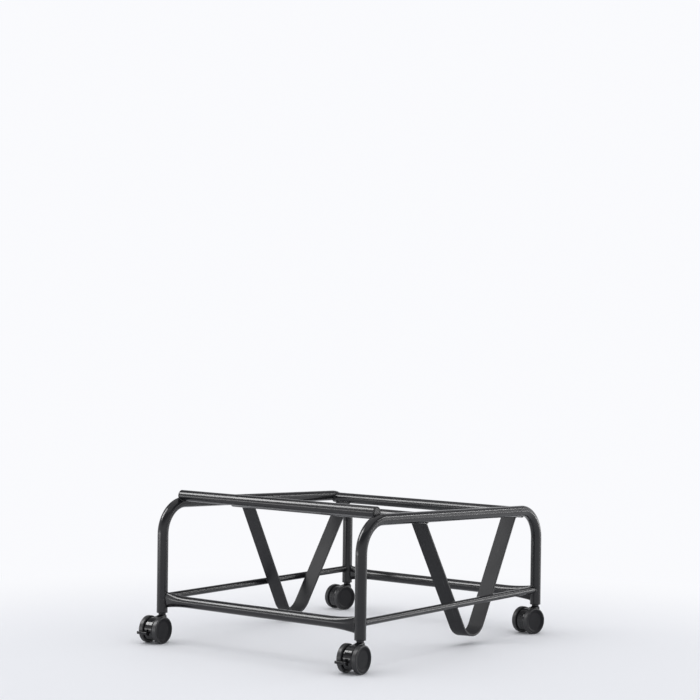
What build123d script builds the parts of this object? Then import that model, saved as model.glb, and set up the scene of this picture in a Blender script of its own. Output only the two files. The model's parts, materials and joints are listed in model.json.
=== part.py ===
# Stacking dolly: a welded tube frame on four twin-wheel swivel casters, with two V cradles.
# X runs left to right, Y front to rear, Z up, in millimetres. The origin is on the floor, on the
# frame's middle plane, midway along the dolly's whole length.
import os
from math import atan2, cos, degrees, pi, radians, sin

from build123d import *

# Side frames: one bent tube each, two legs and a top tube that slopes down to the rear
tube_od = 25.4
tube_wall = 1.6
leg_spacing_x = 575.0
leg_spacing_y = 700.0
side_tube_front_z = 321.4  # tube axis, produced to the front leg's axis
side_tube_rear_z = 295.5  # tube axis, produced to the rear leg's axis
bend_radius = 70.0  # at the tube axis
leg_end_z = 69.5

# Front rest bar: lies across the side tubes and is notched over them
rest_bar_od = 25.4
rest_bar_inset = 59.0  # behind the front leg's axis
rest_bar_rise = 15.7  # bar axis above the side tube's axis
rest_bar_end_inset = 3.0  # bar end, inside the side tube's axis
plug_cap = 3.5
plug_round = 1.0
plug_depth = 14.0

# Crossbars: butt against the side tubes a little below their middle and carry the cradles
front_crossbar_inset = 244.0  # behind the front leg's axis
rear_crossbar_inset = 60.0  # ahead of the rear leg's axis
crossbar_drop = 4.2  # bar axis below the side tube's axis
crossbar_end_inset = 3.0  # bar end, inside the side tube's axis

# Lower rails
front_rail_z = 98.5
rear_rail_z = 93.5
flat_run = 72.0  # length of rail that is pressed flat towards each leg
flat_flare = 5.5  # how much taller than the tube's radius the flat end is, above and below
flat_girth = 0.76  # extra thinning that keeps the tube's girth
flat_steps = 4
side_rail_od = 15.9
side_rail_wall = 1.5
side_rail_z = 103.5

# Cradles: a flat strap bent to a V, leaning in towards its top, hung from the two crossbars
strap_width = 40.0
strap_thickness = 5.0
strap_edge_round = 1.0
cradle_bottom_z = 20.0
cradle_bottom_y = 93.0  # bottom bend's middle, behind the frame's middle
cradle_bend_radius = 44.0  # inside the strap
cradle_front_angle = 29.6  # degrees from upright
cradle_rear_angle = 32.1
cradle_lean = 2.4  # degrees from upright
cradle_rail_gap = 0.1  # strap edge to the lower side rail

# Stem sockets and stems
socket_flange = 2.0
socket_length = 44.0
stem_dia = 11.0
stem_bore_dia = 11.4
stem_length = 38.0  # inside the socket
stem_end_gap = 2.0
grip_ring_height = 3.0
grip_ring_depth = 0.8  # groove depth in the stem
grip_ring_drop = 8.0  # ring's middle below the stem's top
grip_ring_slot = 4.0
collar_dia = 17.0
collar_height = 4.0
shank_dia = 9.0
shank_length = 30.0  # inside the caster housing
shank_end_gap = 2.0
running_clearance = 0.05  # radial, a shaft that turns in its hole
swivel_gap = 0.3  # collar to housing

# Casters
caster_trail = 23.5
caster_width = 50.0
wheel_dia = 62.0
tyre_thickness = 3.0
tyre_round = 2.2
tyre_proud = 0.4  # tyre's step at the wheel's outer and inner face
housing_width = 25.0  # hood between the wheels
neck_width = 16.0  # housing's neck, up to the stem
housing_rim_gap = 3.0  # housing edge inside the wheel's tread
housing_floor_gap = 11.0
housing_boss_length = 19.0
housing_boss_round = 5.0
housing_edge_round = 4.0
wheel_side_gap = 0.6
axle_dia = 6.0
axle_end_gap = 0.4
hub_dia = 17.0
wheel_skin = 3.0  # thickness of the wheel's outer disc
rim_wall = 3.0
disc_bevel = 1.2
dish_depth = 2.6
dish_outer_dia = 51.0
dish_inner_dia = 41.0
front_swivel = 4.0  # degrees that the casters stand turned, seen from above
rear_swivel = -13.0

# Brake pedal on each front caster
brake_angle = 8.0  # below level, seen from the axle
brake_pivot_radius = 22.0
brake_pin_dia = 3.0
brake_eye_dia = 9.0
brake_arm_width = 6.0
brake_arm_height = 6.0
brake_slot_gap = 0.4
brake_slot_height = 15.0
brake_pad_gap = 1.8
brake_pad_thickness = 4.0
brake_pad_spread = 10.0  # degrees of the tread that the pad covers
brake_pad_reach = 25.0  # pad's outer end, left of the caster's middle

# Derived places
tube_r = tube_od / 2
half_x = leg_spacing_x / 2
half_y = leg_spacing_y / 2
side_drop = side_tube_front_z - side_tube_rear_z
side_slope = degrees(atan2(side_drop, leg_spacing_y))
side_mid_z = (side_tube_front_z + side_tube_rear_z) / 2
wheel_r = wheel_dia / 2
wheel_in = housing_width / 2 + wheel_side_gap
wheel_out = caster_width / 2
core_r = wheel_r - tyre_thickness
disc_face = wheel_out - tyre_proud
dish_face = disc_face - dish_depth
disc_back = dish_face - wheel_skin
socket_bottom = leg_end_z - socket_flange
collar_bottom = socket_bottom - collar_height
housing_top = collar_bottom - swivel_gap


def side_tube_z(y):
    # Height of the sloping side tube's axis
    return side_mid_z - side_drop * y / leg_spacing_y


def hollow_rod_x(y, z, length, outer_dia, wall):
    rod = Cylinder(outer_dia / 2, length) - Cylinder(outer_dia / 2 - wall, length)
    return Pos(0, y, z) * Rot(0, 90, 0) * rod


# Side frames

def side_frame_solid(x, radius):
    path = FilletPolyline(
        (x, -half_y, leg_end_z),
        (x, -half_y, side_tube_front_z),
        (x, half_y, side_tube_rear_z),
        (x, half_y, leg_end_z),
        radius=bend_radius,
    )
    return sweep(Pos(x, -half_y, leg_end_z) * Circle(radius), path=path)


def side_frame(x):
    return side_frame_solid(x, tube_r) - side_frame_solid(x, tube_r - tube_wall)


side_envelopes = [side_frame_solid(-half_x, tube_r), side_frame_solid(half_x, tube_r)]


# Crossbars

rest_bar_y = rest_bar_inset - half_y
rest_bar_z = side_tube_z(rest_bar_y) + rest_bar_rise
rest_bar_half = half_x - rest_bar_end_inset - plug_cap
front_crossbar_y = front_crossbar_inset - half_y
rear_crossbar_y = half_y - rear_crossbar_inset


def rest_bar():
    bar = hollow_rod_x(rest_bar_y, rest_bar_z, 2 * rest_bar_half, rest_bar_od, tube_wall)
    return bar - side_envelopes


def rest_bar_plug():
    # Push-in plug at the bar's right end: a cap over the cut edge and a spigot in the bore
    cap = extrude(Circle(rest_bar_od / 2), plug_cap)
    cap = fillet(cap.edges().sort_by(Axis.Z)[-1], plug_round)
    spigot = extrude(Circle(rest_bar_od / 2 - tube_wall), -plug_depth)
    plug = Pos(rest_bar_half, rest_bar_y, rest_bar_z) * Rot(0, 90, 0) * (cap + spigot)
    return plug - side_envelopes


def crossbar_z(y):
    return side_tube_z(y) - crossbar_drop


def crossbar(y):
    length = leg_spacing_x - 2 * crossbar_end_inset
    return hollow_rod_x(y, crossbar_z(y), length, tube_od, tube_wall) - side_envelopes


# Lower rails

def flat_end(y, z, inset):
    # Right end of a lower rail, pressed from a round tube into a tall flat blade at the leg
    sections = []
    start = half_x - tube_r - flat_run
    for step in range(flat_steps + 1):
        share = step / flat_steps
        flare = flat_flare * share**2
        tall = tube_r + flare
        thin = tube_r - flare - flat_girth * flare**2 / tube_r
        plane = Plane((start + flat_run * share, y, z), x_dir=(0, 0, 1), z_dir=(1, 0, 0))
        sections.append(plane * Ellipse(tall - inset, thin - inset))
    return loft(sections) + extrude(sections[-1], tube_r / 2)


def lower_rail(y, z):
    straight = 2 * (half_x - tube_r - flat_run)
    rail = hollow_rod_x(y, z, straight, tube_od, tube_wall)
    end = flat_end(y, z, 0) - flat_end(y, z, tube_wall)
    rail = rail + end + mirror(end, about=Plane.YZ)
    return rail - side_envelopes


def side_rail(x):
    rod = Cylinder(side_rail_od / 2, leg_spacing_y)
    rod -= Cylinder(side_rail_od / 2 - side_rail_wall, leg_spacing_y)
    return Pos(x, 0, side_rail_z) * Rot(90, 0, 0) * rod - side_envelopes


# Cradles

cradle_x = half_x - side_rail_od / 2 - cradle_rail_gap - strap_width / 2  # at the side rail's height


def cradle_corner(radius):
    # Corner of the V whose bend of this radius has the cradle's common centre
    front, rear = radians(cradle_front_angle), radians(cradle_rear_angle)
    turn = sin(front + rear)
    centre_z = cradle_bottom_z + strap_thickness + cradle_bend_radius
    y = cradle_bottom_y + radius * (sin(front) - sin(rear)) / turn
    z = centre_z - radius * (cos(front) + cos(rear)) / turn
    return y, z


def cradle_line(radius, rise):
    # One face of the strap, from the front arm's top round the bend to the rear arm's top
    y, z = cradle_corner(radius)
    front, rear = radians(cradle_front_angle), radians(cradle_rear_angle)
    return FilletPolyline(
        (y - rise * sin(front), z + rise * cos(front)),
        (y, z),
        (y + rise * sin(rear), z + rise * cos(rear)),
        radius=radius,
    )


def past_crossbar(y, turn):
    # A crossbar's envelope and everything past its axis along a cradle arm
    size = 2 * (leg_spacing_x + leg_spacing_y)
    place = Pos(0, y, crossbar_z(y))
    bar = Rot(0, 90, 0) * Cylinder(tube_r, leg_spacing_x)
    return place * (bar + Rot(turn, 0, 0) * Pos(0, 0, size / 2) * Box(size, size, size))


def cradle():
    # Right cradle
    rise = 2 * side_tube_front_z
    outer = cradle_line(cradle_bend_radius + strap_thickness, rise)
    inner = cradle_line(cradle_bend_radius, rise)
    ends = [Line(outer @ 0, inner @ 0), Line(outer @ 1, inner @ 1)]
    profile = make_face(outer.edges() + inner.edges() + ends)
    strap = extrude(Plane.YZ * profile, strap_width / 2, both=True)
    sides = strap.edges().group_by(Axis.X)
    strap = fillet(sides[0] + sides[-1], strap_edge_round)
    lean = Pos(cradle_x, 0, side_rail_z) * Rot(0, -cradle_lean, 0) * Pos(0, 0, -side_rail_z)
    strap = lean * strap - past_crossbar(front_crossbar_y, cradle_front_angle)
    return strap - past_crossbar(rear_crossbar_y, -cradle_rear_angle)


# Stem sockets and stems, about the leg's axis

stem_top = socket_bottom + stem_length
ring_middle = stem_top - grip_ring_drop
ring_inner_r = stem_dia / 2 - grip_ring_depth


def upright(radius, bottom, top):
    return Pos(0, 0, bottom) * extrude(Circle(radius), top - bottom)


def stem_socket():
    body = upright(tube_r, socket_bottom, leg_end_z)
    body += upright(tube_r - tube_wall, leg_end_z, leg_end_z + socket_length)
    return body - upright(stem_bore_dia / 2, socket_bottom, stem_top + stem_end_gap)


def stem():
    low = collar_bottom - shank_length
    body = upright(stem_dia / 2, socket_bottom, stem_top)
    body += upright(collar_dia / 2, collar_bottom, socket_bottom)
    body += upright(shank_dia / 2, low, collar_bottom)
    groove = (ring_middle - grip_ring_height / 2, ring_middle + grip_ring_height / 2)
    return body - (upright(stem_dia, *groove) - upright(ring_inner_r, *groove))


def grip_ring():
    # Split spring ring that seats in the stem's groove and grips the socket's bore
    span = (ring_middle - grip_ring_height / 2, ring_middle + grip_ring_height / 2)
    ring = upright(stem_bore_dia / 2, *span) - upright(ring_inner_r, *span)
    return ring - Pos(stem_dia / 2, 0, ring_middle) * Box(stem_dia, grip_ring_slot, 2 * grip_ring_height)


# Casters, about the leg's axis: the axle runs along X and trails towards -Y

axle_place = Pos(0, -caster_trail, wheel_r)
brake_pivot = axle_place * Rot(brake_angle, 0, 0) * Pos(0, -brake_pivot_radius, 0)


def across(radius, half_length):
    # Round bar along X
    return Rot(0, 90, 0) * Cylinder(radius, 2 * half_length)


def rounded_block(side, width):
    # Side outline made into a block, with the edges of both its sides rounded
    block = extrude(Plane.YZ * side, width / 2, both=True)
    sides = block.edges().group_by(Axis.X)
    return fillet(sides[0] + sides[-1], housing_edge_round)


def caster_housing(has_brake):
    rim = Pos(-caster_trail, wheel_r) * Circle(wheel_r - housing_rim_gap)
    boss_bottom = (housing_top + wheel_r) / 2
    boss = Pos(0, (housing_top + boss_bottom) / 2)
    boss = boss * Rectangle(housing_boss_length, housing_top - boss_bottom)
    boss = fillet(boss.vertices().group_by(Axis.Y)[-1], housing_boss_round)
    neck = make_hull(rim.edges() + boss.edges())
    below = Pos(-caster_trail, 0) * Rectangle(4 * wheel_r, 2 * housing_floor_gap)
    body = rounded_block(rim - below, housing_width) + rounded_block(neck - below, neck_width)
    bore_bottom = collar_bottom - shank_length - shank_end_gap
    body -= upright(shank_dia / 2 + running_clearance, bore_bottom, housing_top)
    body -= axle_place * across(axle_dia / 2, housing_width)
    if has_brake:
        slot_half = brake_arm_width / 2 + brake_slot_gap
        depth = brake_eye_dia / 2 + brake_slot_gap
        slot = Pos(0, -wheel_r, 0) * Box(2 * slot_half, 2 * (wheel_r + depth), brake_slot_height)
        body -= brake_pivot * slot
        body -= brake_pivot * across(brake_pin_dia / 2, housing_width)
    return body


def axle():
    return axle_place * across(axle_dia / 2, disc_back - axle_end_gap)


def spun(points):
    # Solid of revolution about X from an outline given as (along X, radius)
    return revolve(make_face(Plane.XZ * Polyline(*points, close=True)), Axis.X)


def wheel():
    # Right-hand wheel: a cup with a dished outer disc, closed over the axle's end
    rim_in = wheel_in + tyre_proud
    bore_r = axle_dia / 2 + running_clearance
    rim_r = core_r - rim_wall
    outline = [
        (wheel_in, bore_r),
        (wheel_in, hub_dia / 2),
        (disc_back, hub_dia / 2),
        (disc_back, rim_r),
        (rim_in, rim_r),
        (rim_in, core_r),
        (disc_face - disc_bevel, core_r),
        (disc_face, core_r - disc_bevel),
        (disc_face, dish_outer_dia / 2),
        (dish_face, dish_inner_dia / 2),
        (dish_face, 0),
        (disc_back, 0),
        (disc_back, bore_r),
    ]
    return axle_place * spun(outline)


def tyre():
    corners = [(wheel_in, core_r), (wheel_in, wheel_r), (wheel_out, wheel_r), (wheel_out, core_r)]
    band = spun(corners)
    tread_edges = [edge for edge in band.edges() if edge.length > 2 * pi * (core_r + wheel_r) / 2]
    return axle_place * fillet(tread_edges, tyre_round)


def brake_pedal():
    # Arm in the housing's slot, with a pad across the left wheel's tread
    arm_end = wheel_r + brake_pad_gap + brake_pad_thickness / 2
    reach = arm_end - brake_pivot_radius
    eye = across(brake_eye_dia / 2, brake_arm_width / 2)
    arm = Pos(0, -reach / 2, 0) * Box(brake_arm_width, reach, brake_arm_height)
    pad_in = wheel_r + brake_pad_gap
    pad_out = pad_in + brake_pad_thickness
    half_spread = radians(brake_pad_spread / 2)
    wedge = Polygon(
        (0, 0),
        (-2 * pad_out * cos(half_spread), -2 * pad_out * sin(half_spread)),
        (-2 * pad_out * cos(half_spread), 2 * pad_out * sin(half_spread)),
        align=None,
    )
    pad_side = (Circle(pad_out) - Circle(pad_in)) & wedge
    pad = extrude(Plane.YZ * pad_side, brake_pad_reach + brake_arm_width / 2)
    pad = fillet(pad.edges().filter_by(Axis.X), brake_pad_thickness / 4)
    pad = Pos(-brake_pad_reach, brake_pivot_radius, 0) * pad
    pedal = eye + arm + pad - across(brake_pin_dia / 2 + running_clearance, brake_arm_width)
    return brake_pivot * pedal


def brake_pin():
    return brake_pivot * across(brake_pin_dia / 2, housing_width / 2)


# Assembly

pieces = {
    "left_side_frame": side_frame(-half_x),
    "right_side_frame": side_frame(half_x),
    "front_rest_bar": rest_bar(),
    "front_crossbar": crossbar(front_crossbar_y),
    "rear_crossbar": crossbar(rear_crossbar_y),
    "front_lower_rail": lower_rail(-half_y, front_rail_z),
    "rear_lower_rail": lower_rail(half_y, rear_rail_z),
    "left_side_rail": side_rail(-half_x),
    "right_side_rail": side_rail(half_x),
}

# Made on the right and mirrored to the left
right_pieces = {
    "rest_bar_plug": rest_bar_plug(),
    "cradle": cradle(),
}
for name, piece in right_pieces.items():
    pieces["right_" + name] = piece
    pieces["left_" + name] = mirror(piece, about=Plane.YZ)

for end, y, swivel in (("front", -half_y, front_swivel), ("rear", half_y, rear_swivel)):
    braked = end == "front"
    caster = {
        "stem_socket": stem_socket(),
        "stem": stem(),
        "grip_ring": grip_ring(),
        "caster_housing": caster_housing(braked),
        "axle": axle(),
        "right_wheel": wheel(),
        "left_wheel": mirror(wheel(), about=Plane.YZ),
        "right_tyre": tyre(),
        "left_tyre": mirror(tyre(), about=Plane.YZ),
    }
    if braked:
        caster["brake_pedal"] = brake_pedal()
        caster["brake_pin"] = brake_pin()
    for side, x in (("left", -half_x), ("right", half_x)):
        place = Pos(x, y, 0) * Rot(0, 0, swivel)
        for name, piece in caster.items():
            pieces[f"{end}_{side}_{name}"] = place * piece

whole = Compound(list(pieces.values())).bounding_box()
to_origin = Pos(0, -whole.center().Y, 0)

os.makedirs("parts", exist_ok=True)
for name, piece in pieces.items():
    export_step(to_origin * piece, f"parts/{name}.step")
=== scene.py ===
import json
import math

import bpy
import bmesh
from mathutils import Matrix, Vector


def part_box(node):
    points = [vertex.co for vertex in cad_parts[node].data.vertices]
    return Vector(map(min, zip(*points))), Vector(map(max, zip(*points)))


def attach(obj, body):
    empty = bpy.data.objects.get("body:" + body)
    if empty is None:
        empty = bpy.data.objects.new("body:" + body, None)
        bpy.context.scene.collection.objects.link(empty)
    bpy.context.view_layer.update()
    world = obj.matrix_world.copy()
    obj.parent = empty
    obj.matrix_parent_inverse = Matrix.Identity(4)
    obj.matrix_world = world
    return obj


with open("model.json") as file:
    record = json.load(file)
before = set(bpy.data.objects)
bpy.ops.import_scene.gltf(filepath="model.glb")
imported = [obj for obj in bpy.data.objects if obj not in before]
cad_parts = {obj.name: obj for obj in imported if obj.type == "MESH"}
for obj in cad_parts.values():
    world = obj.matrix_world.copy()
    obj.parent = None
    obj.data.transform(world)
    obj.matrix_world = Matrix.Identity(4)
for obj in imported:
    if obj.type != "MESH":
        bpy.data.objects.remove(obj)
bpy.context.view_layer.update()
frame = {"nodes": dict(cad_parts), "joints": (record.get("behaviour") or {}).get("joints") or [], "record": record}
nodes = frame["nodes"]
joints = {joint["name"]: joint for joint in frame["joints"]}
sides = {"left": -1, "right": 1}
corners = ("front_left", "front_right", "rear_left", "rear_right")
print("dolly frame loaded:", len(nodes), "nodes")


# shader helpers

def addNode(tree, kind, **settings):
    node = tree.nodes.new(kind)
    for key, value in settings.items():
        setattr(node, key, value)
    return node


# a number or a colour is set on the socket, anything else is linked to it
def feed(tree, socket, value):
    if isinstance(value, (int, float)):
        socket.default_value = value
    elif isinstance(value, tuple):
        socket.default_value = (*value, 1)
    else:
        tree.links.new(value, socket)


def socketById(sockets, identifier):
    return next(socket for socket in sockets if socket.identifier == identifier)


def newGroup(name, inputs, outputs):
    tree = bpy.data.node_groups.new(name, "ShaderNodeTree")
    for label in inputs:
        tree.interface.new_socket(label, in_out="INPUT", socket_type="NodeSocketFloat")
    for label in outputs:
        tree.interface.new_socket(label, in_out="OUTPUT", socket_type="NodeSocketFloat")
    return tree, addNode(tree, "NodeGroupInput"), addNode(tree, "NodeGroupOutput")


def useGroup(tree, group, values):
    node = addNode(tree, "ShaderNodeGroup", node_tree=group)
    for label, value in values.items():
        node.inputs[label].default_value = value
    return node.outputs


def ramp(tree, source, low, high, toMin=0.0, toMax=1.0):
    node = addNode(tree, "ShaderNodeMapRange", interpolation_type="SMOOTHSTEP")
    tree.links.new(source, node.inputs["Value"])
    for label, value in (("From Min", low), ("From Max", high), ("To Min", toMin), ("To Max", toMax)):
        feed(tree, node.inputs[label], value)
    return node.outputs["Result"]


def calc(tree, operation, first, second):
    node = addNode(tree, "ShaderNodeMath", operation=operation)
    feed(tree, node.inputs[0], first)
    feed(tree, node.inputs[1], second)
    return node.outputs["Value"]


def blendColour(tree, mask, base, over):
    node = addNode(tree, "ShaderNodeMix", data_type="RGBA")
    tree.links.new(mask, node.inputs["Factor"])
    feed(tree, socketById(node.inputs, "A_Color"), base)
    feed(tree, socketById(node.inputs, "B_Color"), over)
    return socketById(node.outputs, "Result_Color")


def mixShaders(tree, mask, first, second, target):
    mix = addNode(tree, "ShaderNodeMixShader")
    tree.links.new(mask, mix.inputs["Fac"])
    tree.links.new(first, mix.inputs[1])
    tree.links.new(second, mix.inputs[2])
    tree.links.new(mix.outputs["Shader"], target)


def objectNoise(tree, scale, detail, stretch=(1, 1, 1)):
    place = addNode(tree, "ShaderNodeTexCoord")
    mapping = addNode(tree, "ShaderNodeMapping")
    mapping.inputs["Scale"].default_value = stretch
    noise = addNode(tree, "ShaderNodeTexNoise")
    noise.inputs["Detail"].default_value = detail
    tree.links.new(place.outputs["Object"], mapping.inputs["Vector"])
    tree.links.new(mapping.outputs["Vector"], noise.inputs["Vector"])
    tree.links.new(scale, noise.inputs["Scale"])
    return noise.outputs["Fac"]


# effects for the finishes; a span is where a noise or an angle fades in

# fine pebble of a sprayed or moulded skin, with slow drifts in tone
grainLook = {"fineDetail": 1.5, "slowDetail": 4.0, "driftSpan": (0.3, 0.7)}


def makeSkinGrain():
    tree, given, out = newGroup("skinGrain", ("Grain Scale", "Drift Scale"), ("Height", "Drift"))
    fine = objectNoise(tree, given.outputs["Grain Scale"], grainLook["fineDetail"])
    slow = objectNoise(tree, given.outputs["Drift Scale"], grainLook["slowDetail"])
    tree.links.new(fine, out.inputs["Height"])
    tree.links.new(ramp(tree, slow, *grainLook["driftSpan"]), out.inputs["Drift"])
    return tree


# rubbed corners, broken up so that they don't follow every edge
wearLook = {"roundSamples": 4, "edgeSpan": (0.80, 0.97), "patchDetail": 5.0, "patchSpan": (0.44, 0.62)}


def makeEdgeWear():
    tree, given, out = newGroup("edgeWear", ("Reach", "Patch Scale"), ("Mask",))
    surface = addNode(tree, "ShaderNodeNewGeometry")
    rounded = addNode(tree, "ShaderNodeBevel", samples=wearLook["roundSamples"])
    tree.links.new(given.outputs["Reach"], rounded.inputs["Radius"])
    match = addNode(tree, "ShaderNodeVectorMath", operation="DOT_PRODUCT")
    tree.links.new(rounded.outputs["Normal"], match.inputs[0])
    tree.links.new(surface.outputs["Normal"], match.inputs[1])
    edge = ramp(tree, match.outputs["Value"], *wearLook["edgeSpan"], 1.0, 0.0)
    patchNoise = objectNoise(tree, given.outputs["Patch Scale"], wearLook["patchDetail"])
    patches = ramp(tree, patchNoise, *wearLook["patchSpan"])
    tree.links.new(calc(tree, "MULTIPLY", edge, patches), out.inputs["Mask"])
    return tree


# dust that lies on upward faces and gathers low down
dustLook = {"lyingSpan": (0.55, 1.0), "lyingMost": 0.6, "speckDetail": 6.0, "speckSpan": (0.40, 0.72)}


def makeDust():
    tree, given, out = newGroup("settledDust", ("Low Height", "Speck Scale"), ("Mask",))
    place = addNode(tree, "ShaderNodeTexCoord")
    split = addNode(tree, "ShaderNodeSeparateXYZ")
    tree.links.new(place.outputs["Object"], split.inputs["Vector"])
    low = ramp(tree, split.outputs["Z"], 0.0, given.outputs["Low Height"], 1.0, 0.0)
    surface = addNode(tree, "ShaderNodeNewGeometry")
    facing = addNode(tree, "ShaderNodeSeparateXYZ")
    tree.links.new(surface.outputs["Normal"], facing.inputs["Vector"])
    lying = ramp(tree, facing.outputs["Z"], *dustLook["lyingSpan"], 0.0, dustLook["lyingMost"])
    speckNoise = objectNoise(tree, given.outputs["Speck Scale"], dustLook["speckDetail"])
    specks = ramp(tree, speckNoise, *dustLook["speckSpan"])
    gathered = calc(tree, "MAXIMUM", low, lying)
    tree.links.new(calc(tree, "MULTIPLY", gathered, specks), out.inputs["Mask"])
    return tree


# long faint rubs along the straps, from use
rubLook = {
    "lineDetail": 5.0, "lineStretch": (14, 1, 1), "lineSpan": (0.60, 0.68),
    "areaDetail": 2.0, "areaSpan": (0.50, 0.64),
}


def makeRubs():
    tree, given, out = newGroup("slidingRubs", ("Rub Scale", "Area Scale"), ("Mask",))
    lineNoise = objectNoise(tree, given.outputs["Rub Scale"], rubLook["lineDetail"], rubLook["lineStretch"])
    areaNoise = objectNoise(tree, given.outputs["Area Scale"], rubLook["areaDetail"])
    lines = ramp(tree, lineNoise, *rubLook["lineSpan"])
    areas = ramp(tree, areaNoise, *rubLook["areaSpan"])
    tree.links.new(calc(tree, "MULTIPLY", lines, areas), out.inputs["Mask"])
    return tree


skinGrain = makeSkinGrain()
edgeWear = makeEdgeWear()
settledDust = makeDust()
slidingRubs = makeRubs()
print("finish effects made")


def newMaterial(name):
    material = bpy.data.materials.new(name)
    material.use_nodes = True
    tree = material.node_tree
    return material, tree, tree.nodes["Principled BSDF"]


# uneven gloss and fine relief of a skin
def giveSkin(tree, shader, grain, rough, relief):
    tree.links.new(ramp(tree, grain["Drift"], 0.0, 1.0, *rough), shader.inputs["Roughness"])
    bump = addNode(tree, "ShaderNodeBump")
    bump.inputs["Distance"].default_value = relief
    tree.links.new(grain["Height"], bump.inputs["Height"])
    tree.links.new(bump.outputs["Normal"], shader.inputs["Normal"])


# black powder coat: smooth and semi-gloss on the tubes, duller on the straps
paintLooks = {
    "framePaint": {
        "colour": (0.010, 0.010, 0.0115), "drift": (0.014, 0.014, 0.0155), "worn": (0.075, 0.075, 0.08),
        "dusty": (0.17, 0.17, 0.165), "dustAmount": 0.02, "wearAmount": 0.45, "rubAmount": 0.0,
        "rough": (0.17, 0.23), "specular": 0.43, "grainScale": 1000.0, "relief": 0.0000007,
    },
    "strapPaint": {
        "colour": (0.019, 0.019, 0.021), "drift": (0.025, 0.025, 0.027), "worn": (0.10, 0.10, 0.105),
        "dusty": (0.17, 0.17, 0.165), "dustAmount": 0.03, "wearAmount": 0.55, "rubAmount": 0.25,
        "rough": (0.50, 0.58), "specular": 0.22, "grainScale": 900.0, "relief": 0.000006,
    },
}
paintMarks = {
    "driftScale": 7.0,
    "wear": {"Reach": 0.0012, "Patch Scale": 90.0},
    "dust": {"Low Height": 0.05, "Speck Scale": 60.0},
    "rubs": {"Rub Scale": 30.0, "Area Scale": 12.0},
}


def makePaint(name):
    look = paintLooks[name]
    material, tree, shader = newMaterial(name)
    grainValues = {"Grain Scale": look["grainScale"], "Drift Scale": paintMarks["driftScale"]}
    grain = useGroup(tree, skinGrain, grainValues)
    worn = useGroup(tree, edgeWear, paintMarks["wear"])
    dust = useGroup(tree, settledDust, paintMarks["dust"])
    colour = blendColour(tree, grain["Drift"], look["colour"], look["drift"])
    dustMask = calc(tree, "MULTIPLY", dust["Mask"], look["dustAmount"])
    colour = blendColour(tree, dustMask, colour, look["dusty"])
    wornMask = calc(tree, "MULTIPLY", worn["Mask"], look["wearAmount"])
    if look["rubAmount"]:
        rubs = useGroup(tree, slidingRubs, paintMarks["rubs"])
        rubMask = calc(tree, "MULTIPLY", rubs["Mask"], look["rubAmount"])
        wornMask = calc(tree, "MAXIMUM", wornMask, rubMask)
    colour = blendColour(tree, wornMask, colour, look["worn"])
    tree.links.new(colour, shader.inputs["Base Color"])
    shader.inputs["Specular IOR Level"].default_value = look["specular"]
    giveSkin(tree, shader, grain, look["rough"], look["relief"])
    return material


# moulded plastics of the casters and end plugs
mouldedLooks = {
    "housingPlastic": {
        "colour": (0.007, 0.007, 0.008), "dusty": (0.07, 0.07, 0.07), "dustAmount": 0.25,
        "rough": (0.09, 0.13), "specular": 0.42, "relief": 0.000002,
    },
    "discPlastic": {
        "colour": (0.017, 0.017, 0.019), "dusty": (0.05, 0.05, 0.05), "dustAmount": 0.10,
        "rough": (0.52, 0.62), "specular": 0.07, "relief": 0.00004,
    },
    "treadRubber": {
        "colour": (0.013, 0.013, 0.0145), "dusty": (0.06, 0.06, 0.058), "dustAmount": 0.20,
        "rough": (0.34, 0.42), "specular": 0.5, "relief": 0.00002,
    },
    "plugPlastic": {
        "colour": (0.008, 0.008, 0.009), "dusty": (0.04, 0.04, 0.04), "dustAmount": 0.10,
        "rough": (0.34, 0.44), "specular": 0.25, "relief": 0.00003,
    },
}
mouldedMarks = {
    "grain": {"Grain Scale": 1500.0, "Drift Scale": 45.0},
    "dust": {"Low Height": 0.045, "Speck Scale": 260.0},
    "wear": {"Reach": 0.0008, "Patch Scale": 140.0},
    "wearAmount": 0.3,
}


def makeMoulded(name):
    look = mouldedLooks[name]
    material, tree, shader = newMaterial(name)
    grain = useGroup(tree, skinGrain, mouldedMarks["grain"])
    dust = useGroup(tree, settledDust, mouldedMarks["dust"])
    worn = useGroup(tree, edgeWear, mouldedMarks["wear"])
    dustMask = calc(tree, "MULTIPLY", dust["Mask"], look["dustAmount"])
    wornMask = calc(tree, "MULTIPLY", worn["Mask"], mouldedMarks["wearAmount"])
    lighter = calc(tree, "MAXIMUM", dustMask, wornMask)
    tree.links.new(blendColour(tree, lighter, look["colour"], look["dusty"]), shader.inputs["Base Color"])
    shader.inputs["Specular IOR Level"].default_value = look["specular"]
    giveSkin(tree, shader, grain, look["rough"], look["relief"])
    return material


# plated steel of the stems, axles and pins, coloured dark as painted shade for the shaded neck between each leg
# and its caster
steelPaintedShadeLook = {
    # both tones are far darker than bare plated steel: painted shade
    "colour": (0.050, 0.050, 0.053), "dull": (0.028, 0.028, 0.030),
    "rough": (0.28, 0.46), "relief": 0.00001,
    "grain": {"Grain Scale": 2600.0, "Drift Scale": 120.0},
}


def makeSteelPaintedShade(name):
    material, tree, shader = newMaterial(name)
    grain = useGroup(tree, skinGrain, steelPaintedShadeLook["grain"])
    colour = blendColour(tree, grain["Drift"], steelPaintedShadeLook["colour"], steelPaintedShadeLook["dull"])
    tree.links.new(colour, shader.inputs["Base Color"])
    shader.inputs["Metallic"].default_value = 1.0
    giveSkin(tree, shader, grain, steelPaintedShadeLook["rough"], steelPaintedShadeLook["relief"])
    return material


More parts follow.
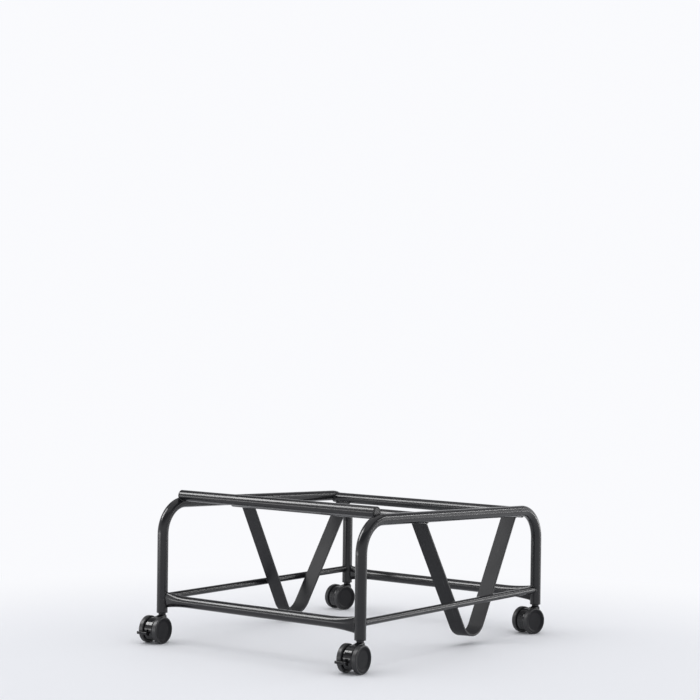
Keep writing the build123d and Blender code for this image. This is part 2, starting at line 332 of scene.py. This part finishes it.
finishes = {
    "frame_paint": makePaint("framePaint"),
    "cradle_paint": makePaint("strapPaint"),
    "plug_plastic": makeMoulded("plugPlastic"),
    "steel": makeSteelPaintedShade("stemSteelPaintedShade"),
    "caster_plastic": makeMoulded("housingPlastic"),
    "wheel_plastic": makeMoulded("discPlastic"),
    "tread": makeMoulded("treadRubber"),
}
for entry in frame["record"]["subparts"]:
    nodes[entry["node"]].material_slots[0].material = finishes[entry["material_slot"]]
print("finishes given to the frame, cradles and casters")


# places read from the frame

def middle(node):
    low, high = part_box(node)
    return (low + high) / 2


def halfSize(node):
    low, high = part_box(node)
    return (high - low) / 2


tubeR = halfSize("right_side_frame").x
legX = middle("right_side_frame").x
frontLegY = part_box("right_side_frame")[0].y + tubeR
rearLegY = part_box("right_side_frame")[1].y - tubeR
wellAbove = 1.0  # higher than anything on the dolly


# where a straight line first meets a node
def hitPoint(node, start, toward):
    found, place, _, _ = nodes[node].ray_cast(Vector(start), Vector(toward))
    return place if found else None


# height of a side tube's axis, found from its top
def sideTubeZ(y):
    return hitPoint("right_side_frame", (legX, y, wellAbove), (0, 0, -1)).z - tubeR


def turns(count, start, end):
    return [start + (end - start) * i / (count - 1) for i in range(count)]


def ring(count):
    return turns(count + 1, 0.0, 2 * math.pi)[:-1]


def addObject(name, data):
    thing = bpy.data.objects.new(name, data)
    bpy.context.scene.collection.objects.link(thing)
    return thing


# beads laid along a path: a ripple at every pitch, a slow swell, and open ends that taper

beadLook = {"swellPerStep": 0.037, "swellPerMetre": 40, "endShrink": 0.35, "fewestSteps": 6}
weldLook = dict(beadLook, radius=0.0019, ripple=0.15, pitch=0.0022, swell=0.12, sides=10, steps=4)
mouldLook = dict(beadLook, ripple=0.0, pitch=0.0016, swell=0.0, sides=8, steps=2)


# the path again, with its points evenly spaced
def evenPoints(points, closed, look):
    path = points + [points[0]] if closed else points
    lengths = [0.0]
    for a, b in zip(path, path[1:]):
        lengths.append(lengths[-1] + (b - a).length)
    step = look["pitch"] / look["steps"]
    count = max(int(round(lengths[-1] / step)), look["fewestSteps"])
    spaced = []
    leg = 0
    for i in range(count if closed else count + 1):
        want = lengths[-1] * i / count
        while leg < len(path) - 2 and lengths[leg + 1] < want:
            leg += 1
        span = lengths[leg + 1] - lengths[leg]
        spaced.append(path[leg].lerp(path[leg + 1], (want - lengths[leg]) / span if span else 0))
    return spaced


# a ring of points round each point of the path, with no twist from one to the next
def beadRings(mesh, path, closed, look):
    last = len(path) - 1
    rings = []
    across = None
    for i, point in enumerate(path):
        ahead = path[(i + 1) % len(path)] if closed or i < last else point
        behind = path[i - 1] if closed or i > 0 else point
        along = (ahead - behind).normalized()
        if across is None:
            across = along.orthogonal().normalized()
        else:
            across = (across - along * across.dot(along)).normalized()
        up = along.cross(across)
        wave = 1 + look["ripple"] * math.sin(2 * math.pi * i / look["steps"])
        swell = 1 + look["swell"] * math.sin(i * look["swellPerStep"] + point.x * look["swellPerMetre"])
        reach = look["radius"] * wave * swell
        if not closed and i in (0, last):
            reach *= look["endShrink"]
        spokes = [math.cos(turn) * across + math.sin(turn) * up for turn in ring(look["sides"])]
        rings.append([mesh.verts.new(point + reach * spoke) for spoke in spokes])
    return rings


def addBead(mesh, points, closed, look):
    rings = beadRings(mesh, evenPoints(points, closed, look), closed, look)
    pairs = list(zip(rings, rings[1:]))
    if closed:
        pairs.append((rings[-1], rings[0]))
    for a, b in pairs:
        shift = 0
        if a is rings[-1]:  # the first ring may be turned against the last one
            shift = min(range(len(b)), key=lambda k: (b[k].co - a[0].co).length)
        for k in range(len(a)):
            n = (k + 1) % len(a)
            mesh.faces.new((a[k], a[n], b[(n + shift) % len(b)], b[(k + shift) % len(b)]))
    if not closed:
        mesh.faces.new(list(reversed(rings[0])))
        mesh.faces.new(rings[-1])


def finishPiece(name, mesh, body, slot):
    data = bpy.data.meshes.new(name)
    bmesh.ops.recalc_face_normals(mesh, faces=mesh.faces)
    mesh.to_mesh(data)
    mesh.free()
    data.polygons.foreach_set("use_smooth", [True] * len(data.polygons))
    data.materials.append(finishes[slot])
    piece = addObject(name, data)
    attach(piece, body)
    print("made", name, len(data.vertices), "points")


# round each lower side rail where it meets the legs
sideRailWeldLook = dict(weldLook, points=72)


def sideRailWelds():
    mesh = bmesh.new()
    for sideName in sides:
        centre = middle(f"{sideName}_side_rail")
        railR = halfSize(f"{sideName}_side_rail").x
        for legY, toRail in ((frontLegY, 1), (rearLegY, -1)):
            points = []
            for turn in ring(sideRailWeldLook["points"]):
                x = railR * math.cos(turn)
                y = legY + toRail * math.sqrt(tubeR**2 - x**2)
                points.append(Vector((centre.x + x, y, centre.z + railR * math.sin(turn))))
            addBead(mesh, points, True, sideRailWeldLook)
    finishPiece("sideRailWelds", mesh, "frame", "frame_paint")


# round the flat ends of the front and rear lower rails, whose thickness is taken at the tips
bladeWeldLook = dict(weldLook, points=96, tip=0.002)


def bladeWelds():
    mesh = bmesh.new()
    for rail in ("front_lower_rail", "rear_lower_rail"):
        centre = middle(rail)
        tall = halfSize(rail).z
        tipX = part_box(rail)[1].x - bladeWeldLook["tip"]
        thin = max(abs(v.co.y - centre.y) for v in nodes[rail].data.vertices if v.co.x > tipX)
        for side in sides.values():
            points = []
            for turn in ring(bladeWeldLook["points"]):
                y = thin * math.cos(turn)
                x = side * (legX - math.sqrt(tubeR**2 - y**2))
                points.append(Vector((x, centre.y + y, centre.z + tall * math.sin(turn))))
            addBead(mesh, points, True, bladeWeldLook)
    finishPiece("bladeWelds", mesh, "frame", "frame_paint")


# where a bar along X runs into the side tubes: over the crossbars and under the rest bar
crossbarWeldLook = dict(weldLook, points=97, first=-0.76, last=math.pi + 0.76)
restBarWeldLook = dict(weldLook, points=97, first=-math.pi + 0.2, last=-0.2)


def barWelds(name, bars, look):
    mesh = bmesh.new()
    for bar in bars:
        centre = middle(bar)
        barR = halfSize(bar).y
        reach = halfSize(bar).x
        for side in sides.values():
            points = []
            for turn in turns(look["points"], look["first"], look["last"]):
                y = centre.y + barR * math.cos(turn)
                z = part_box(bar)[1].z + barR * (math.sin(turn) - 1)
                off = z - sideTubeZ(y)
                if abs(off) < tubeR:
                    x = legX - math.sqrt(tubeR**2 - off**2)
                    if x < reach:
                        points.append(Vector((side * x, y, z)))
            addBead(mesh, points, False, look)
    finishPiece(name, mesh, "frame", "frame_paint")


# round the strap ends on the crossbars, through the strap's points that lie on a bar's skin
strapWeldLook = dict(weldLook, onSkin=0.0003)


def strapWelds():
    mesh = bmesh.new()
    for sideName in sides:
        for bar in ("front_crossbar", "rear_crossbar"):
            centre = middle(bar)
            barR = halfSize(bar).y
            loop = []
            for vertex in nodes[f"{sideName}_cradle"].data.vertices:
                out = vertex.co - centre
                if abs(math.hypot(out.y, out.z) - barR) < strapWeldLook["onSkin"]:
                    loop.append((out.x, barR * math.atan2(out.y, -out.z), vertex.co.copy()))
            midX = sum(entry[0] for entry in loop) / len(loop)
            midArc = sum(entry[1] for entry in loop) / len(loop)
            loop.sort(key=lambda entry: math.atan2(entry[1] - midArc, entry[0] - midX))
            addBead(mesh, [entry[2] for entry in loop], True, strapWeldLook)
    finishPiece("strapWelds", mesh, "frame", "frame_paint")


# short tacks between the strap edges and the lower side rails, at the slope that the edges have
# from a probe below the rail's axis to one above it
tackLook = dict(
    weldLook, radius=0.0016, points=15, halfTurn=0.62,
    besideRail=0.002, probe=0.005, outside=0.6,
)


def railTacks():
    mesh = bmesh.new()
    probe = tackLook["probe"]
    outside = tackLook["outside"]
    for sideName, side in sides.items():
        strap = f"{sideName}_cradle"
        rail = middle(f"{sideName}_side_rail")
        railR = halfSize(f"{sideName}_side_rail").x
        x = rail.x - side * (railR + tackLook["besideRail"])
        bendY = middle(strap).y
        for startY, toward in ((-outside, 1), (bendY, -1), (bendY, 1), (outside, -1)):
            low = hitPoint(strap, (x, startY, rail.z - probe), (0, toward, 0))
            high = hitPoint(strap, (x, startY, rail.z + probe), (0, toward, 0))
            points = []
            for turn in turns(tackLook["points"], -tackLook["halfTurn"], tackLook["halfTurn"]):
                rise = railR * math.sin(turn)
                y = (low.y + high.y) / 2 + (high.y - low.y) * rise / (2 * probe)
                points.append(Vector((rail.x - side * railR * math.cos(turn), y, rail.z + rise)))
            addBead(mesh, points, False, tackLook)
    finishPiece("railTacks", mesh, "frame", "frame_paint")


# raised rim on the face of each rest bar plug, open at the bottom
plugRimLook = dict(mouldLook, radius=0.0007, inset=0.0024, points=73, pastHalf=0.30)


def plugRims():
    mesh = bmesh.new()
    centre = middle("front_rest_bar")
    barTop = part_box("front_rest_bar")[1].z
    barR = halfSize("front_rest_bar").y
    rimR = barR - plugRimLook["inset"]
    pastHalf = plugRimLook["pastHalf"]
    for sideName, side in sides.items():
        faceX = max(abs(corner.x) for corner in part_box(f"{sideName}_rest_bar_plug"))
        points = []
        for turn in turns(plugRimLook["points"], -pastHalf, math.pi + pastHalf):
            y = centre.y + rimR * math.cos(turn)
            z = barTop - barR + rimR * math.sin(turn)
            points.append(Vector((side * faceX, y, z)))
        addBead(mesh, points, False, plugRimLook)
    finishPiece("plugRims", mesh, "frame", "plug_plastic")


sideRailWelds()
bladeWelds()
barWelds("crossbarWelds", ("front_crossbar", "rear_crossbar"), crossbarWeldLook)
barWelds("restBarWelds", ("front_rest_bar",), restBarWeldLook)
strapWelds()
railTacks()
plugRims()


# caster details, placed from each caster's axle: along it, out from it and up

def axleFrame(corner):
    spin = joints[f"{corner}_left_wheel_spin"]
    return Vector(spin["pos_m"]), Vector(spin["axis"]).normalized()


# moulding seam round the middle of the housing, left out at its top, its foot and the brake slot
seamLook = dict(
    mouldLook, radius=0.0003, points=181, fewestPoints=6,
    outside=0.1, rimR=0.0262, topGap=0.0012, floorZ=0.0125,
)


def housingSeam(corner):
    housing = f"{corner}_caster_housing"
    axle, along = axleFrame(corner)
    up = Vector((0, 0, 1))
    ahead = along.cross(up)
    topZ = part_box(housing)[1].z - seamLook["topGap"]
    mesh = bmesh.new()
    run = []
    for turn in turns(seamLook["points"], -math.pi / 2, 3 * math.pi / 2):
        out = math.cos(turn) * ahead + math.sin(turn) * up
        place = hitPoint(housing, axle + seamLook["outside"] * out, -out)
        usable = place is not None and (place - axle).length > seamLook["rimR"]
        if usable and seamLook["floorZ"] < place.z < topZ:
            run.append(place)
        else:
            if len(run) >= seamLook["fewestPoints"]:
                addBead(mesh, run, False, seamLook)
            run = []
    finishPiece(f"{corner}_housingSeam", mesh, f"{corner}_caster", "caster_plastic")


# ribs across the top edge of a brake pedal's pad
gripLook = dict(
    mouldLook, radius=0.0005, count=9, first=-0.0236, spacing=0.0030,
    thickness=0.0040, endGap=0.0010, halfSpread=5.0,
)


def pedalGrips(corner):
    axle, along = axleFrame(corner)
    pedal = f"{corner}_brake_pedal"
    out = (Vector(joints[pedal]["pos_m"]) - axle).normalized()
    up = out.cross(along) if out.cross(along).z > 0 else along.cross(out)
    reach = max((v.co - axle - along * (v.co - axle).dot(along)).length for v in nodes[pedal].data.vertices)
    inner = reach - gripLook["thickness"] + gripLook["endGap"]
    outer = reach - gripLook["endGap"]
    spread = math.radians(gripLook["halfSpread"])
    edge = math.cos(spread) * out + math.sin(spread) * up
    mesh = bmesh.new()
    for i in range(gripLook["count"]):
        place = axle + along * (gripLook["first"] + gripLook["spacing"] * i)
        addBead(mesh, [place + edge * inner, place + edge * outer], False, gripLook)
    finishPiece(f"{corner}_pedalGrips", mesh, f"{corner}_brake", "caster_plastic")


for corner in corners:
    housingSeam(corner)
    if f"{corner}_brake_pedal" in nodes:
        pedalGrips(corner)


# studio floor, surroundings, lamps and camera

# rays that should meet the plain white surroundings
def sightRays(tree):
    path = addNode(tree, "ShaderNodeLightPath")
    seen = calc(tree, "MAXIMUM", path.outputs["Is Camera Ray"], path.outputs["Is Glossy Ray"])
    return calc(tree, "MAXIMUM", seen, path.outputs["Is Transmission Ray"])


# pale floor round the dolly that turns into plain white farther out
floorLook = {
    "colour": (0.80, 0.80, 0.815), "rough": 0.75, "specular": 0.2, "half": 30.0,
    "white": (0.955, 0.960, 0.985), "litCentre": (0.35, -0.45, 0.0), "litRadius": 0.80, "whiteRadius": 1.85,
}


def makeFloor():
    data = bpy.data.meshes.new("studioFloor")
    half = floorLook["half"]
    outline = [(-half, -half, 0), (half, -half, 0), (half, half, 0), (-half, half, 0)]
    data.from_pydata(outline, [], [(0, 1, 2, 3)])
    floor = addObject("studioFloor", data)
    material, tree, shader = newMaterial("studioFloorPaint")
    shader.inputs["Base Color"].default_value = (*floorLook["colour"], 1)
    shader.inputs["Roughness"].default_value = floorLook["rough"]
    shader.inputs["Specular IOR Level"].default_value = floorLook["specular"]
    place = addNode(tree, "ShaderNodeTexCoord")
    reach = addNode(tree, "ShaderNodeVectorMath", operation="DISTANCE")
    reach.inputs[1].default_value = floorLook["litCentre"]
    tree.links.new(place.outputs["Object"], reach.inputs[0])
    far = ramp(tree, reach.outputs["Value"], floorLook["litRadius"], floorLook["whiteRadius"])
    glow = addNode(tree, "ShaderNodeEmission")
    glow.inputs["Color"].default_value = (*floorLook["white"], 1)
    seenFar = calc(tree, "MULTIPLY", far, sightRays(tree))
    target = tree.nodes["Material Output"].inputs["Surface"]
    mixShaders(tree, seenFar, shader.outputs["BSDF"], glow.outputs["Emission"], target)
    data.materials.append(material)


# soft fill from all round; sight and reflections meet white walls and a darker ceiling instead
worldLook = {
    "fill": (0.86, 0.88, 0.92), "fillStrength": 0.88,
    "walls": floorLook["white"], "ceiling": (0.22, 0.22, 0.23), "wallsTo": 0.20, "ceilingFrom": 0.60,
}


def makeWorld():
    world = bpy.data.worlds.new("studioWorld")
    bpy.context.scene.world = world
    world.use_nodes = True
    tree = world.node_tree
    base = tree.nodes["Background"]
    base.inputs["Color"].default_value = (*worldLook["fill"], 1)
    base.inputs["Strength"].default_value = worldLook["fillStrength"]
    place = addNode(tree, "ShaderNodeTexCoord")
    split = addNode(tree, "ShaderNodeSeparateXYZ")
    tree.links.new(place.outputs["Generated"], split.inputs["Vector"])
    high = ramp(tree, split.outputs["Z"], worldLook["wallsTo"], worldLook["ceilingFrom"])
    room = addNode(tree, "ShaderNodeBackground")
    tree.links.new(blendColour(tree, high, worldLook["walls"], worldLook["ceiling"]), room.inputs["Color"])
    target = tree.nodes["World Output"].inputs["Surface"]
    mixShaders(tree, sightRays(tree), base.outputs["Background"], room.outputs["Background"], target)


# a sheen lamp shows only in glossy surfaces, as a lit panel beside the set would,
# and a matt one lights without showing in them
lampLook = {
    "overhead": {
        "place": (0.2, 0.1, 3.0), "aim": (0, 0, 0),
        "size": (4.0, 4.0), "power": 32, "shows": "both",
    },
    "frontLeft": {
        "place": (-1.77, -1.25, 2.37), "aim": (0, -0.2, 0.2),
        "size": (1.6, 1.6), "power": 9, "shows": "matt",
    },
    "frontLeftPanel": {
        "place": (-1.83, -1.485, 2.25), "aim": (0, -0.3, 0.2),
        "size": (1.0, 1.55), "power": 60, "shows": "sheen",
    },
    "lowStrip": {
        "place": (-1.15, -1.75, 0.16), "aim": (0, -0.3, 0.25),
        "size": (1.5, 0.22), "power": 5, "shows": "sheen",
    },
    "backRight": {
        "place": (1.95, 2.65, 0.95), "aim": (0.1, 0, 0.25),
        "size": (1.9, 1.5), "power": 6, "shows": "matt",
    },
    "backRightPanel": {
        "place": (1.95, 2.65, 0.95), "aim": (0.1, 0, 0.25),
        "size": (1.9, 1.9), "power": 105, "shows": "sheen",
    },
}


def makeLamps():
    for name, look in lampLook.items():
        lamp = bpy.data.lights.new(name, "AREA")
        lamp.shape = "RECTANGLE"
        lamp.size, lamp.size_y = look["size"]
        lamp.energy = look["power"]
        holder = addObject(name, lamp)
        holder.location = look["place"]
        toward = Vector(look["aim"]) - Vector(look["place"])
        holder.rotation_euler = toward.to_track_quat("-Z", "Y").to_euler()
        holder.visible_camera = False
        holder.visible_diffuse = look["shows"] != "sheen"
        holder.visible_glossy = look["shows"] != "matt"


cameraLook = {
    "place": (2.6996, -3.5125, 0.7342), "turn": 37.540, "pitch": -0.722, "roll": 0.716,
    "sensor": 36.0, "lens": 96.90,
}


def makeCamera():
    data = bpy.data.cameras.new("photoView")
    data.sensor_width = cameraLook["sensor"]
    data.lens = cameraLook["lens"]
    camera = addObject("photoView", data)
    turn = Matrix.Rotation(math.radians(cameraLook["turn"]), 4, "Z")
    tilt = Matrix.Rotation(math.radians(90 + cameraLook["pitch"]), 4, "X")
    roll = Matrix.Rotation(math.radians(cameraLook["roll"]), 4, "Z")
    camera.matrix_world = Matrix.Translation(cameraLook["place"]) @ turn @ tilt @ roll
    bpy.context.scene.camera = camera


makeFloor()
makeWorld()
makeLamps()
makeCamera()
bpy.context.scene.view_settings.view_transform = "Standard"
print("studio ready")
